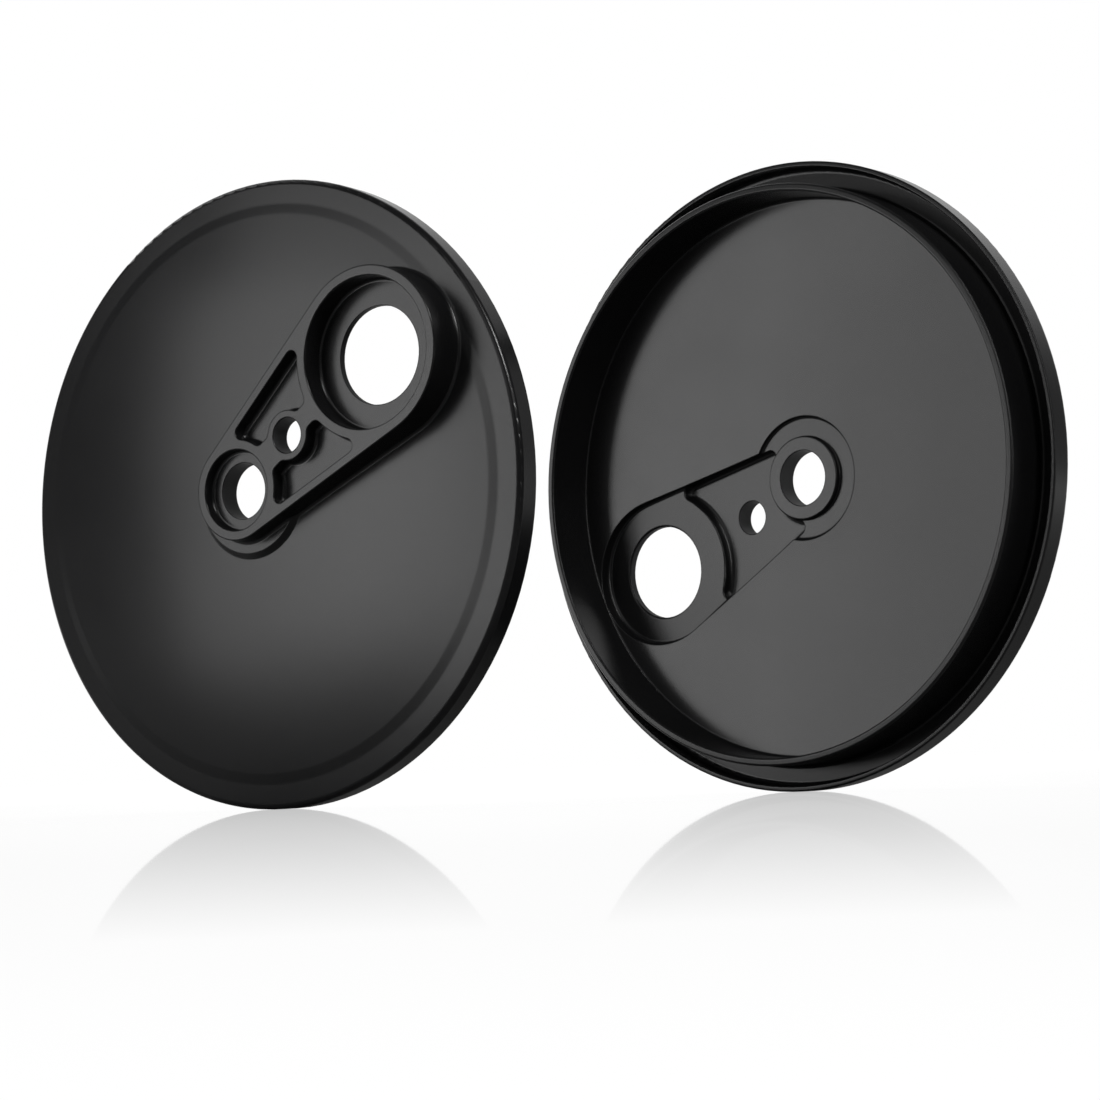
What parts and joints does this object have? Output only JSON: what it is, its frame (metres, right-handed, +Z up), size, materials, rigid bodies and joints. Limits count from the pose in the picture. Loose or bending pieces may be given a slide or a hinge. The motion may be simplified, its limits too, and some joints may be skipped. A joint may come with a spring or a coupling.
{
  "type": "pair of round end covers",
  "caption": "Pair of identical round dished end covers standing on their rims, each with a spigot ring, a raised arm, a central bore and an offset bearing seat.",
  "frame": {"origin": "centre of the pair's bounding box on the ground plane, where both rims stand", "axes": "+Z up; the left cover's axis lies exactly along Y with its outer face to -Y and its open side to +Y; the right cover's open side faces -Y, turned 7.7 degrees towards -X; +X runs from the left cover to the right one"},
  "size_m": [0.2676, 0.1124, 0.16],
  "materials": {
    "cover_black": "satin black moulding, seats and bores machined"
  },
  "bodies": {
    "root": {"left_cover": "cover_black", "right_cover": "cover_black"}
  },
  "joints": []
}
